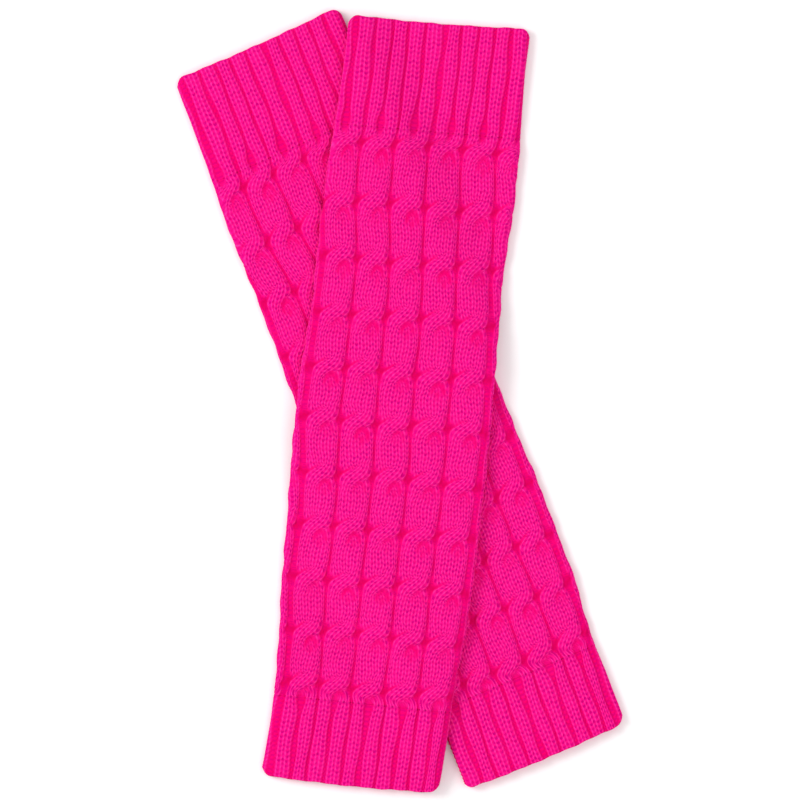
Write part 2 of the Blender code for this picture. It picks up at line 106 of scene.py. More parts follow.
# Widths across a cable, in half cables: a rib's and a pod's half, how much narrower the pod is between two
# pits, and how much narrower the whole cable is near a crossing, over a reach in phases. Then half a strand,
# and by what share it is wider where it slants most. A flatness is the power in the crest of a rib or a pod.
RIB_HALF = 0.5 - 2 * GUTTER_HALF
POD_HALF = 1.0 - 2 * GUTTER_HALF
PIT_DEPTH = 0.11
BARREL = 0.06
BARREL_REACH = 0.18
STRAND_HALF = 0.475
STRAND_SLANT = 0.75
RIB_FLATNESS = 4.0
POD_FLATNESS = 2.8

# The strand that passes behind comes out in an oval hollow, right of the pod's middle and below the crossing:
# its place and half size in half cables and phases, its depth and how much it smooths the stitches. Then its
# least strength, and how fast that varies from one cable and from one crossing to the next.
EMERGE_SIDE = 0.3
EMERGE_PHASE = 0.31
EMERGE_HALF_WIDTH = 0.33
EMERGE_HALF_LENGTH = 0.19
EMERGE_DIP = 0.9
EMERGE_SMOOTH = 0.52
EMERGE_LEAST = 0.4
EMERGE_BY_CABLE = 2.1
EMERGE_BY_CROSSING = 3.7

# A crease runs round the hollow's top: half its width as a share of the oval's, its depth, and how far above
# the oval's middle it starts to fade, in half lengths of the oval.
BRIM_HALF = 0.3
BRIM_DIP = 0.55
BRIM_FADE = 0.5

# Below a crossing the pod's left side stands this much higher than its middle, and above the next one its
# right side does. The most is this far from the crossing, in phases.
POD_TILT = 0.75
TILT_PHASE = 0.22

# The pod sinks beside the front strand's upper edge: how far off the edge and how wide, in half cables, where
# along the crossing and over how much of it, in phases, how deep, and how much that smooths the stitches.
CREASE_OFF = 0.06
CREASE_HALF_WIDTH = 0.12
CREASE_PHASE = -0.05
CREASE_HALF_LENGTH = 0.12
CREASE_DIP = 0.5
CREASE_SMOOTH = 0.9

# A smooth pocket opens between a cable's two ribs where the knit turns: half how much wider the groove there
# is, as a share of a cable's width, the pocket's half width in half cables and its depth. POCKETS has a row
# for the knee end and one for the ankle end: its place along, its half length and its strength.
POCKET_OPENING = 0.07
POCKET_HALF_WIDTH = 0.16
POCKET_DIP = 0.5
POCKETS = ((57.0, 5.5, 1.0), (378.0, 4.5, 0.75))

# Below these shares of a pod's rise the knit turns to purl in a crossing, and anywhere it gets the painted
# shade of a gutter.
BARE_SHARE = 0.35
GUTTER_SHARE = 0.45

# How many cables lie from the first gutter to the last, and how many there are all round. Crossings stray
# from their rows, in phases, and that varies from one cable and from one crossing to the next. The knit turns
# from ribs to cables and back over a short way, and back only a little past the last crossing.
CABLES_ACROSS = 5
CABLES_ROUND = 11
CROSS_WANDER = 0.03
WANDER_BY_CABLE = 1.7
WANDER_BY_CROSSING = 2.3
RIB_TO_CABLE = 7.5
LAST_CABLE_RUNOUT = 1.5

# How far each groove wanders from side to side in the cuffs and among the cables, its mean width in the cuffs
# as a share of the table's, and how much that comes and goes. Then how fast the slow wander and the quick one
# go on, from one millimetre and from one groove to the next.
CUFF_WANDER = 0.026
LEG_WANDER = 0.018
CUFF_GROOVES = 0.75
WIDTH_WANDER = 0.25
WANDERS = ((0.075, 2.4), (0.19, 4.1))

# How far wales stray inside a pod, in half cables, and how fast that goes on from one millimetre and from one
# cable to the next. Among the cables the folds stray too, by millimetres, once and twice as fast as given.
WALE_WANDER = 0.05
WALE_WANDERS = ((0.13, 2.6), (0.31, 1.2))
FOLD_WANDER = 0.35
FOLD_WANDER_PER_MM = 0.21

# The courses of the knit lean by a share of the way across, at the ankle by less of it, and bow near a mouth.
COURSE_LEAN = -0.036
ANKLE_LEAN = 0.4
MOUTH_BOW = 1.2
BOW_FADE = 50.0

# Where the stretches of the tube meet, measured along from the knee edge.
KNEE_CUFF_LENGTH = 60.0
ANKLE_CUFF_START = 376.5

# The upper leg warmer clears the under one by this much, and comes down to the surface over this distance,
# from just beside it.
REST_GAP = 0.3
DRAPE_REACH = 28.0
DRAPE_START = 0.5

# The knit: eight wales to a cable, the outer two of them purl. The edges of its wales from the middle
# outwards, in half cables, where it is ribbed and where it is cabled. How many wales a strand has, and how
# long a course is.
WALES_TO_CABLE = 8
RIB_WALE_EDGES = (0.0, 0.05, 0.5, 0.95, 1.0)
CABLE_WALE_EDGES = (0.0, 0.37, 0.74, 0.95, 1.0)
STRAND_WALES = 3
COURSE = 2.7

# The grid of points: how many there are to a wale, a purl wale and a course, and the wales that the front's
# columns run from and to. Where in a cable the underside's columns lie, how far they stay off the front's, in
# cables, every how many rows the inside has one, and where the rim's rows lie, as shares of its setback.
POINTS_TO_WALE = 4
POINTS_TO_PURL_WALE = 2
POINTS_TO_COURSE = 4
FIRST_WALE = -0.5
LAST_WALE = 5.9
UNDERSIDE_SHARES = (0.0, 0.33, 0.67)
UNDERSIDE_GAP = 0.05
INNER_STEP = 18
RIM_ROWS = (0.0, 0.12, 0.35, 0.75)

# A stitch: how far its legs lean, in courses, how much of a strand's slant its courses take on, and how deep
# the knit and the purl ones are. Off its middle, in half wales, the hole between its legs ends and the dash
# between two wales begins, and each has a least depth where the yarn bridges it. Between its legs and the
# next one's all of a stitch dips by LEG_DIP of its depth.
LEG_LEAN = 0.5
COURSE_SHEAR = 0.55
STITCH_DEPTH = 0.6
PURL_DEPTH = 0.35
HOLE_HALF = 0.5
HOLE_LEAST = 0.25
DASH_START = 0.5
DASH_LEAST = 0.45
LEG_DIP = 0.15

# Hollows smooth the stitches in them, at most by SMOOTHED, which is reached where SMOOTHED_GAIN times the
# hollow's strength is 1. The stitches also fade round a fold, from one share of its half circle and over
# another.
SMOOTHED = 0.6
SMOOTHED_GAIN = 1.3
STITCH_FADE_START = 0.5
STITCH_FADE_REACH = 0.3

COLUMN_NAMES = ("along", "left", "right", "first_gutter", "last_gutter")

# A row for each section: the knee edge, its cuff's middle, eleven cable crossings, the ankle cuff's middle
# and its edge.
UPPER_SECTIONS = (
    (0.0, -48.4, 51.3, -54.5, 40.2),
    (35.2, -48.4, 51.6, -53.9, 40.4),
    (68.2, -50.0, 52.7, -54.5, 40.2),
    (101.8, -51.4, 53.0, -53.9, 42.9),
    (133.1, -50.9, 51.6, -49.5, 44.6),
    (163.4, -50.6, 52.7, -49.5, 48.1),
    (193.6, -52.2, 53.7, -49.9, 49.9),
    (222.2, -52.3, 54.7, -49.9, 51.4),
    (251.9, -51.6, 54.9, -46.8, 51.5),
    (281.1, -50.2, 54.9, -45.7, 51.2),
    (310.2, -49.5, 54.7, -46.0, 51.5),
    (338.8, -47.6, 53.5, -44.0, 51.2),
    (368.5, -46.5, 51.3, -42.9, 50.0),
    (395.5, -47.0, 50.4, -44.0, 49.0),
    (422.5, -48.4, 49.2, -44.6, 48.4),
)
UNDER_SECTIONS = (
    (0.0, -49.0, 49.5, -56.1, 38.5),
    (35.2, -49.7, 50.1, -55.8, 38.5),
    (68.2, -51.2, 50.6, -56.5, 38.1),
    (101.8, -52.8, 50.1, -56.1, 40.7),
    (133.1, -52.3, 50.3, -52.0, 42.1),
    (163.4, -53.0, 51.2, -52.1, 45.5),
    (193.6, -54.1, 51.7, -52.7, 47.1),
    (222.2, -53.9, 52.7, -52.9, 48.7),
    (251.9, -53.6, 52.4, -49.9, 48.4),
    (281.1, -52.8, 52.9, -49.0, 47.9),
    (310.2, -51.7, 52.4, -49.5, 48.0),
    (338.8, -49.8, 51.8, -47.6, 47.6),
    (368.5, -47.9, 48.9, -46.7, 46.3),
    (395.5, -46.8, 48.5, -48.0, 45.0),
    (423.7, -47.0, 48.0, -48.7, 44.3),
)
FIRST_CROSSING_ROW = 2
LAST_CROSSING_ROW = 12

# A row for each groove between ribs, of which every other one is a gutter between cables: its even place, how
# far it lies off that at the knee, among the cables and at the ankle, and half its floor at the knee and the
# ankle. All are shares of a cable's width.
GROOVE_NAMES = ("place", "knee_shift", "leg_shift", "ankle_shift", "knee_half", "ankle_half")
GROOVES = (
    (0.0, 0.07, 0.085, 0.04, 0.04, 0.05),
    (0.5, 0.04, 0.085, 0.13, 0.08, 0.07),
    (1.0, 0.11, 0.08, 0.11, 0.05, 0.03),
    (1.5, 0.10, 0.065, 0.12, 0.035, 0.045),
    (2.0, 0.08, 0.05, 0.12, 0.03, 0.04),
    (2.5, 0.06, 0.035, 0.14, 0.04, 0.08),
    (3.0, 0.13, 0.025, 0.13, 0.08, 0.03),
    (3.5, 0.12, 0.02, 0.15, 0.035, 0.06),
    (4.0, 0.09, 0.015, 0.12, 0.04, 0.03),
    (4.5, 0.07, 0.015, 0.09, 0.035, 0.05),
    (5.0, 0.07, 0.02, -0.02, 0.06, 0.03),
)

# Where the middle of each leg warmer lies, and how far its ankle end swings towards the left, in degrees.
UPPER_MIDDLE = (-3.711, -2.115)
UPPER_SWING = 6.61
UNDER_MIDDLE = (0.689, -0.515)
UNDER_SWING = -22.02

# Wool colours, as linear red, green and blue: the yarn, a painted highlight on the stitches' legs, a darker
# colour for painted shade in stitch holes and between wales that some fibres also take on, painted shade in
# hollows and gutters, and darker painted shade in the pits beside the crossings.
YARN = (0.89, 0.005, 0.235, 1.0)
RIDGE_HIGHLIGHT = (0.98, 0.034, 0.335, 1.0)
SHADE_AND_DARK_FIBRE = (0.59, 0.0, 0.18, 1.0)
RECESS_SHADE = (0.82, 0.0, 0.155, 1.0)
PIT_SHADE = (0.68, 0.0, 0.11, 1.0)

# Over what stretch a stitch's painted marks come or go: across, off its middle in half wales, and along, from
# its legs to the gap between them. The dots are painted shade in the crotches, the dashes painted shade
# between wales, and the ridges a painted highlight on the legs. A dash shows DASH_SHOWN on the legs, all
# marks of the plainest stitch show UNEVEN_SHOWN, and a ridge shows the two shares of RIDGE_SHOWN on the legs
# and in the gap.
DOT_ACROSS = (0.2, 0.6)
DOT_ALONG = (0.2, 0.75)
DASH_ACROSS = (0.45, 0.85)
DASH_ALONG = (0.15, 0.8)
RIDGE_FROM = (0.25, 0.5)
RIDGE_TO = (0.55, 0.85)
DASH_SHOWN = 0.15
UNEVEN_SHOWN = 0.35
RIDGE_SHOWN = (0.9, 0.4)

# The yarn's fibres: how many times their noise is drawn out along a leg, its scale and detail, between which
# of its values they darken the yarn and how much, and how high they stand beside a stitch.
FIBRE_STRETCH = 7.0
FIBRE_NOISE = (2.6, 4.0)
FIBRE_DARKENING = (0.35, 0.75)
FIBRE_DARKEST = 0.25
FIBRE_HEIGHT = 0.3

# The painted shade in hollows is stronger in patches: their noise's scale and detail, and between which of
# its values that changes from what share to what share. Purl rows in gutters get painted shade where they are
# low: between which heights, of which 1 is the top and -1 the bottom, and how much. The tube's inside gets
# some too.
PATCH_NOISE = (90.0, 2.0)
PATCH_VALUES = (0.3, 0.7)
PATCH_SHOWN = (0.55, 0.95)
RIPPLE_ROWS = (-0.9, 0.6)
RIPPLE_SHOWN = 0.55
INSIDE_SHADE = 0.5

# The fine bumps of the shading: a purl row's middle height and how far it swings from that, and the strength
# and the depth in millimetres of all of them.
PURL_MIDDLE = 0.55
PURL_SWING = 0.25
BUMP_STRENGTH = 0.55
BUMP_DEPTH = 0.45

# What the shaders' sockets are set to. The cables are a little fuzzier than the ribs.
YARN_SURFACE = {
    "Roughness": 0.9,
    "Specular IOR Level": 0.03,
    "Subsurface Weight": 0.3,
    "Subsurface Radius": (1.0, 0.2, 0.4),
    "Subsurface Scale": 1.2 * MM,
    "Sheen Roughness": 0.45,
    "Sheen Tint": (1.0, 0.2, 0.6, 1.0),
}
RIB_FUZZ = 0.03
CABLE_FUZZ = 0.045
FLOOR_SURFACE = {"Base Color": (0.94, 0.94, 0.94, 1.0), "Roughness": 0.9, "Specular IOR Level": 0.1}

# The floor's width in metres, and how far below the surface it lies in millimetres. The light all round, and
# a row for each square lamp: its name, its power in watts, and its width and its place in metres.
FLOOR_SIZE = 6.0
FLOOR_DROP = 0.1
WHITE = (1.0, 1.0, 1.0, 1.0)
WORLD_STRENGTH = 0.8
LAMPS = (
    ("key", 23.0, 1.0, (-1.5, 0.5, 1.5)),
    ("fill", 9.0, 1.6, (1.0, -0.4, 2.0)),
)

# The photograph's frame, in metres: how much of the floor its width shows, its middle, and how high the
# camera is. The width of the camera's sensor is in millimetres.
VIEW_WIDTH = 0.44
VIEW_MIDDLE_X = 0.0001
VIEW_MIDDLE_Y = 0.0005
CAMERA_HEIGHT = 6.0
SENSOR = 36.0

# How many places along a stretch its mean width is taken from.
WIDTH_SAMPLES = 40


def smooth(x):
    """0 below 0, 1 above 1, and an even S between."""
    x = np.clip(x, 0.0, 1.0)
    return x * x * (3.0 - 2.0 * x)


def crest(x, flatness=RIB_FLATNESS):
    """A flat top with round shoulders: 1 at 0, and 0 from 1 outwards."""
    return np.sqrt(np.clip(1.0 - np.abs(x) ** flatness, 0.0, 1.0))


def hump(x):
    """A bell: 1 at 0, and near 0 from 2 outwards."""
    return np.exp(-(x**2))


def through(stations, values, at):
    """A smooth curve through a table's values."""
    slopes = np.gradient(values, stations)
    at = np.clip(at, stations[0], stations[-1])
    row = np.clip(np.searchsorted(stations, at, side="right") - 1, 0, len(stations) - 2)
    span = stations[row + 1] - stations[row]
    share = (at - stations[row]) / span
    start = (1.0 + 2.0 * share) * (1.0 - share) ** 2 * values[row]
    start = start + share * (1.0 - share) ** 2 * span * slopes[row]
    end = share * share * (3.0 - 2.0 * share) * values[row + 1]
    end = end - share * share * (1.0 - share) * span * slopes[row + 1]
    return start + end


class LegWarmer:
    """One flattened knitted tube: its sections, its place, and what it lies on."""

    def __init__(self, sections, middle, swing, lies_on=None):
        self.table = dict(zip(COLUMN_NAMES, np.array(sections).T))
        self.grooves = dict(zip(GROOVE_NAMES, np.array(GROOVES).T))
        self.middle = middle
        self.swing = math.radians(swing)
        self.lies_on = lies_on
        self.length = self.table["along"][-1]
        self.crossings = self.table["along"][FIRST_CROSSING_ROW : LAST_CROSSING_ROW + 1]

    def at(self, column, along):
        return through(self.table["along"], self.table[column], along)

    def edge(self, column, along):
        """Where a fold lies across, once it strays a little among the cables."""
        turn = FOLD_WANDER_PER_MM * along
        waves = (np.sin(turn) + np.sin(2.0 * turn + self.swing)) / 2.0
        return self.at(column, along) + FOLD_WANDER * waves * self.cabled(along)

    def place(self, along, across):
        """World x and y of a point given along and across."""
        down = along - self.length / 2
        cos, sin = math.cos(self.swing), math.sin(self.swing)
        x = self.middle[0] + across * cos - down * sin
        y = self.middle[1] - across * sin - down * cos
        return x, y

    def locate(self, x, y):
        """Along and across of a world point."""
        cos, sin = math.cos(self.swing), math.sin(self.swing)
        dx, dy = x - self.middle[0], y - self.middle[1]
        return self.length / 2 - dx * sin - dy * cos, dx * cos - dy * sin

    def off_centre(self, along, across):
        """-1 at the left fold, 0 in the middle and 1 at the right fold."""
        left, right = self.edge("left", along), self.edge("right", along)
        return np.clip((2.0 * across - left - right) / (right - left), -1.0, 1.0)

    def depth(self, along):
        """How far in from the nearer mouth."""
        return np.clip(np.minimum(along, self.length - along), 0.0, None)

    def gape(self, along, across):
        """How far the front layer is lifted near the mouths, most in the middle and not at the folds."""
        fade = 1.0 - smooth(self.depth(along) / MOUTH_DEPTH)
        return MOUTH_GAPE * fade * (1.0 - self.off_centre(along, across) ** 2)

    def lift(self, x, y):
        """How far what lies underneath holds this leg warmer off the surface."""
        if self.lies_on is None:
            return np.zeros_like(x)
        below = self.lies_on
        along, across = below.locate(x, y)
        beside = np.maximum(below.edge("left", along) - across, across - below.edge("right", along))
        beyond = np.maximum(-along, along - below.length)
        outside = np.hypot(np.maximum(beside, 0.0), np.maximum(beyond, 0.0))
        top = FULL_HEIGHT + REST_GAP + below.gape(along, across)
        return top * (1.0 - smooth((outside - DRAPE_START) / DRAPE_REACH))

    def course(self, along, across):
        """Along, once the courses of the knit lean, most at the knee, and bow a little near both mouths."""
        bow = MOUTH_BOW * self.off_centre(along, across) ** 2 * (1.0 - smooth(self.depth(along) / BOW_FADE))
        lean = COURSE_LEAN * (1.0 - (1.0 - ANKLE_LEAN) * along / self.length)
        return along + lean * across - bow

    def rounded_corner(self, along, across):
        """How far along a point near a mouth moves, so that corners are round and the edge a little wavy."""
        left, right = self.edge("left", along), self.edge("right", along)
        into = np.maximum(left + CORNER_RADIUS - across, across - right + CORNER_RADIUS) / CORNER_RADIUS
        arc = CORNER_RADIUS * (1.0 - np.sqrt(1.0 - np.clip(into, 0.0, 1.0 - CORNER_LEFT) ** 2))
        waves = sum(np.sin(per_mm * across + self.swing) for per_mm in EDGE_WAVES)
        arc = arc + EDGE_WAVE * (1.0 + waves / len(EDGE_WAVES))
        near_knee = np.clip(1.0 - along / CORNER_FADE, 0.0, 1.0) ** 2
        near_ankle = np.clip(1.0 - (self.length - along) / CORNER_FADE, 0.0, 1.0) ** 2
        return arc * (near_knee - near_ankle)

    def cabled(self, along):
        """0 in the ribbed cuffs and 1 among the cables."""
        into = smooth((along - self.crossings[0] + RIB_TO_CABLE) / RIB_TO_CABLE)
        out = smooth((self.crossings[-1] + LAST_CABLE_RUNOUT + RIB_TO_CABLE - along) / RIB_TO_CABLE)
        return into * out

    def phase(self, along, cable):
        """How far past its nearest crossing each point is, as a share of the distance between crossings, that
        distance, and which crossing it is."""
        nearest = np.argmin(np.abs(along[..., None] - self.crossings), axis=-1)
        spacing = np.gradient(self.crossings)[nearest]
        wander = CROSS_WANDER * np.sin(WANDER_BY_CABLE * cable + WANDER_BY_CROSSING * nearest)
        return (along - self.crossings[nearest]) / spacing - wander, spacing, nearest

    def fold_opening(self, inside):
        """1 where a gutter lies by a fold, and 0 where it lies many millimetres inside or under it."""
        begun = smooth((inside + FOLD_UNDER * FOLD_NEAR) / FOLD_NEAR)
        return begun * (1.0 - smooth(inside / FOLD_NEAR - 1.0))

    def half_cable(self, along):
        """Half the width of a cable."""
        return (self.at("last_gutter", along) - self.at("first_gutter", along)) / (2 * CABLES_ACROSS)

    def spread(self, along, wales):
        """Where the wales of one row lie, once each groove has its own place and width."""
        table, cabled = self.grooves, self.cabled(along)
        cuff = "knee" if along < self.length / 2 else "ankle"
        centre = table["place"] + table[cuff + "_shift"] * (1.0 - cabled) + table["leg_shift"] * cabled
        counted = np.arange(len(centre))
        slow, quick = (np.sin(per_mm * along + per_groove * counted) for per_mm, per_groove in WANDERS)
        centre = centre + (CUFF_WANDER + (LEG_WANDER - CUFF_WANDER) * cabled) * (slow + quick) / 2.0
        half = table[cuff + "_half"] * (CUFF_GROOVES + WIDTH_WANDER * np.roll(quick, 1)) * (1.0 - cabled)
        half = half + GUTTER_HALF * cabled
        half[1::2] += POCKET_OPENING * near_pockets(along)
        left_half, right_half = half.copy(), half.copy()
        first = self.fold_opening(self.at("first_gutter", along) - self.edge("left", along))
        last = self.fold_opening(self.edge("right", along) - self.at("last_gutter", along))
        left_half[0] += FOLD_PURL_OUT * first
        right_half[0] += FOLD_PURL_IN * first
        left_half[-1] += FOLD_PURL_IN * last
        right_half[-1] += FOLD_PURL_OUT * last
        even = np.stack([table["place"] - GUTTER_HALF, table["place"] + GUTTER_HALF], axis=1).ravel()
        moved = np.stack([centre - left_half, centre + right_half], axis=1).ravel()
        even = np.concatenate([[even[0] - 1.0], even, [even[-1] + 1.0]])
        moved = np.concatenate([[even[0] + centre[0]], moved, [even[-1] + centre[-1] - CABLES_ACROSS]])
        return np.interp(wales, even, moved)

    def past_folds(self, along, wale):
        """Where the points of a grid lie across, and how far along the knit they are past a fold's start."""
        first, last = self.at("first_gutter", along), self.at("last_gutter", along)
        places = np.stack([self.spread(row[0], wales) for row, wales in zip(along, wale)])
        seen = first + (last - first) * places / CABLES_ACROSS
        past_right = np.maximum(seen - self.edge("right", along) + FOLD_INSET, 0.0)
        past_left = np.maximum(self.edge("left", along) + FOLD_INSET - seen, 0.0)
        return seen, past_right - past_left

    def round_the_fold(self, along, wale, radius, middle, rise):
        """Across and height over the front and round both folds, whose middle and radius are given. rise is a
        function of how far round a fold a point is, and says how far it stands out beyond the radius."""
        seen, past = self.past_folds(along, wale)
        turn = np.clip(np.abs(past) / FOLD_RADIUS, 0.0, math.pi)
        under = np.clip(np.abs(past) - math.pi * FOLD_RADIUS, 0.0, None)
        outward = np.sign(past)
        reach = radius + rise(turn)
        across = seen - past + outward * (reach * np.sin(turn) - under)
        height = middle + reach * np.cos(turn)
        return across, height + self.gape(along, across) * facing_up(turn)

    def settle(self, along, across, height):
        """Points in world millimetres, with the courses leaning, the corners round and the drape added."""
        along = self.course(along + self.rounded_corner(along, across), across)
        x, y = self.place(along, across)
        return np.stack([x, y, height + self.lift(x, y)], axis=-1)


def facing_up(turn):
    """1 on the front, where a fold's turn is 0, and 0 on the underside, where it's half a circle."""
    return (1.0 + np.cos(turn)) / 2.0


def near_pockets(along):
    """How strong the pockets between the ribs are: 0 away from both rows of them."""
    return sum(strength * hump((along - place) / reach) for place, reach, strength in POCKETS)


def ribs(side):
    """Two ribs to a cable's width: two knit wales each, with the purl ones drawn in between."""
    return RIB_RISE * crest((np.abs(side) - 0.5) / RIB_HALF)


def strands(side, phase, crossed):
    """Heights of the strand that passes in front and of the pod behind it, and how far across the front one
    is and half how wide. They cross fully where crossed is 1, and not where it is 0."""
    into = smooth((phase + CROSS_REACH) / (2.0 * CROSS_REACH))
    swap = STRAND_HALF * (1.0 - 2.0 * into)
    half = STRAND_HALF * (1.0 + STRAND_SLANT * 4.0 * into * (1.0 - into))
    barrel_half = POD_HALF - crossed * BARREL * hump(phase / BARREL_REACH)
    front = POD_RISE + crossed * STRAND_RISE * hump(phase / CROSS_BULGE)
    front = front * crest((side - swap) / half, POD_FLATNESS)
    front = front * crest(side / barrel_half)
    pod_half = barrel_half - crossed * PIT_DEPTH * hump(phase / PIT_REACH)
    dip = STRAND_DIP * (1.0 - DIP_EASED * smooth((1.0 + side) / 2.0)) * hump(phase / CROSS_DIP)
    pod = (POD_RISE - crossed * dip) * crest(side / pod_half, POD_FLATNESS)
    return front, pod, swap, half


def stitch_wale(column, cabled):
    """The wale, counted in cables, of a column counted in stitches from the first gutter."""
    cable = np.floor(column / WALES_TO_CABLE)
    off = column - WALES_TO_CABLE * (cable + 0.5)
    steps = np.arange(len(RIB_WALE_EDGES))
    ribbed = np.interp(np.abs(off), steps, RIB_WALE_EDGES)
    twisted = np.interp(np.abs(off), steps, CABLE_WALE_EDGES)
    side = np.sign(off) * (ribbed + (twisted - ribbed) * cabled)
    return cable + (side + 1.0) / 2.0


def stitch_heights(column, course, purl):
    """Depth of the stitches: a knit one is a V of two legs with a hole in its crotch, a purl one a bump."""
    off = 2.0 * np.abs(column % 1.0 - 0.5)
    gap = 0.5 - 0.5 * np.cos(2.0 * math.pi * (course + LEG_LEAN * off))
    hole = (1.0 - smooth(off / HOLE_HALF)) * (HOLE_LEAST + (1.0 - HOLE_LEAST) * gap)
    dash = smooth((off - DASH_START) / (1.0 - DASH_START)) * (DASH_LEAST + (1.0 - DASH_LEAST) * gap)
    bump = 0.5 + 0.5 * np.cos(2.0 * math.pi * course)
    return -STITCH_DEPTH * (hole + dash + LEG_DIP * gap) * (1.0 - purl) - PURL_DEPTH * (1.0 - bump) * purl


class Knit:
    """What the knit does at each point of a grid: its rise, and the stitch that the point is on."""

    def __init__(self, warmer, along, column, course, seen):
        self.warmer = warmer
        self.along = along
        self.cabled = warmer.cabled(along)
        self.cable = np.floor(column / WALES_TO_CABLE)
        self.phase, self.spacing, self.nearest = warmer.phase(along, self.cable)
        self.side = self.strayed(column, seen)
        self.wale = self.cable + (self.side + 1.0) / 2.0
        past = np.abs(warmer.past_folds(along, self.wale)[1])
        self.flat = seen * (1.0 - smooth(past / FOLD_RADIUS))
        self.front, self.pod, self.swap, self.half = strands(self.side, self.phase, self.flat)
        self.relief = ribs(self.side) * (1.0 - self.cabled) + np.maximum(self.front, self.pod) * self.cabled
        self.follow_strands(column, course)
        self.sink(seen)

    def strayed(self, column, seen):
        """How far off its cable's middle each point is, in half cables, once its wale strays a little."""
        side = 2.0 * (stitch_wale(column, self.cabled) - self.cable) - 1.0
        waves = (np.sin(per_mm * self.along + per_cable * self.cable) for per_mm, per_cable in WALE_WANDERS)
        return side + WALE_WANDER * sum(waves) * (1.0 - side**2) * self.cabled * seen

    def follow_strands(self, column, course):
        """Turns the stitches of a crossing along its strands, and says how far each stitch is a purl one."""
        phase, cabled = self.phase, self.cabled
        crossing = self.flat * cabled * (1.0 - smooth((np.abs(phase) - CROSS_REACH) / STRAIGHTEN))
        way = np.where(self.front >= self.pod, 1.0, -1.0)
        from_strand = self.side - way * self.swap
        middle = WALES_TO_CABLE * (self.cable + 0.5)
        on_strand = middle + (from_strand / self.half - way * np.sign(phase)) * STRAND_WALES / 2.0
        self.column = column + crossing * (on_strand - column)
        half_cable = self.warmer.half_cable(self.along)
        into = np.clip((phase + CROSS_REACH) / (2.0 * CROSS_REACH), 0.0, 1.0)
        drift = -way * STRAND_HALF * half_cable * 6.0 * into * (1.0 - into) / (CROSS_REACH * self.spacing)
        shear = COURSE_SHEAR * drift * from_strand * half_cable / COURSE
        self.course = course + crossing * (shear + into % 1.0)
        off = np.abs(column - middle)
        straight_purl = np.where(off > STRAND_WALES, 1.0, (off < 1.0) * (1.0 - cabled))
        bare = 1.0 - smooth(self.relief / (BARE_SHARE * POD_RISE))
        self.purl = straight_purl + crossing * (bare - straight_purl)

    def hollow_strength(self):
        """How strong each hollow is, from cable to cable and from crossing to crossing."""
        varied = 0.5 + 0.5 * np.sin(EMERGE_BY_CABLE * self.cable + EMERGE_BY_CROSSING * self.nearest)
        return (EMERGE_LEAST + (1.0 - EMERGE_LEAST) * varied) * self.flat * self.cabled

    def tilt(self):
        """How far the pods lean up on one side and down on the other."""
        far = self.phase / TILT_PHASE
        leaning = -POD_TILT * self.side * far * np.exp(0.5 - 0.5 * far**2)
        return leaning * smooth(self.relief / POD_RISE) * self.flat * self.cabled

    def sink(self, seen):
        """Sinks the hollows with their brims, the creases and the pockets, and smooths the stitches there."""
        strength = self.hollow_strength()
        below = (self.phase - EMERGE_PHASE) / EMERGE_HALF_LENGTH
        oval = np.hypot((self.side - EMERGE_SIDE) / EMERGE_HALF_WIDTH, below)
        emerging = (1.0 - smooth(oval)) * strength
        brim = hump((oval - 1.0) / BRIM_HALF) * (1.0 - smooth(BRIM_FADE + below)) * strength
        crease = hump((self.swap - self.half - self.side - CREASE_OFF) / CREASE_HALF_WIDTH)
        crease = crease * hump((self.phase - CREASE_PHASE) / CREASE_HALF_LENGTH) * self.flat * self.cabled
        pocket = hump(self.side / POCKET_HALF_WIDTH) * near_pockets(self.along) * self.flat
        smoothed = np.maximum.reduce([EMERGE_SMOOTH * emerging, brim, pocket, CREASE_SMOOTH * crease])
        smoothed = smooth(SMOOTHED_GAIN * smoothed)
        # Where the colour gets painted shade: gutters, the smoothed hollows, and the pits beside the
        # crossings.
        gutter = 1.0 - smooth(self.relief / (GUTTER_SHARE * POD_RISE))
        self.hollow = np.maximum(gutter, smoothed)
        self.pit_shade = gutter * hump(self.phase / PIT_REACH) * self.cabled * seen
        self.rise = self.relief + self.tilt() - EMERGE_DIP * emerging - BRIM_DIP * brim - POCKET_DIP * pocket
        self.rise = self.rise - CREASE_DIP * crease
        self.stitch = stitch_heights(self.column, self.course, self.purl) * (1.0 - SMOOTHED * smoothed)


def front_columns():
    """Columns of points over the front and round the folds, counted in stitches from the first gutter."""
    steps = []
    for wale in range(WALES_TO_CABLE):
        purl_only = wale in (0, WALES_TO_CABLE - 1)
        points = POINTS_TO_PURL_WALE if purl_only else POINTS_TO_WALE
        steps += [wale + point / points for point in range(points)]
    cables_counted = range(math.floor(FIRST_WALE), math.ceil(LAST_WALE))
    columns = np.array([cable * WALES_TO_CABLE + step for cable in cables_counted for step in steps])
    return columns[(columns >= FIRST_WALE * WALES_TO_CABLE) & (columns <= LAST_WALE * WALES_TO_CABLE)]


def underside_columns():
    """Columns along the underside, counted in stitches: three to a cable, from its gutter on."""
    cables_counted = range(math.floor(LAST_WALE), CABLES_ROUND)
    columns = np.array([cable + share for cable in cables_counted for share in UNDERSIDE_SHARES])
    last = FIRST_WALE + CABLES_ROUND
    clear = (columns > LAST_WALE + UNDERSIDE_GAP) & (columns < last - UNDERSIDE_GAP)
    return columns[clear] * WALES_TO_CABLE


def stretch_rows(start, end, mouth):
    """Rows of points along one stretch, and its whole number of courses. mouth is where the tube opens."""
    courses = round((end - start) / COURSE)
    rows = np.linspace(start, end, courses * POINTS_TO_COURSE + 1)
    if mouth is not None:
        rim = mouth + np.array(RIM_ROWS) * RIM_SETBACK * (1.0 if mouth == start else -1.0)
        rows = np.unique(np.concatenate([rows[np.abs(rows - mouth) > RIM_SETBACK], rim]))
    return rows, courses


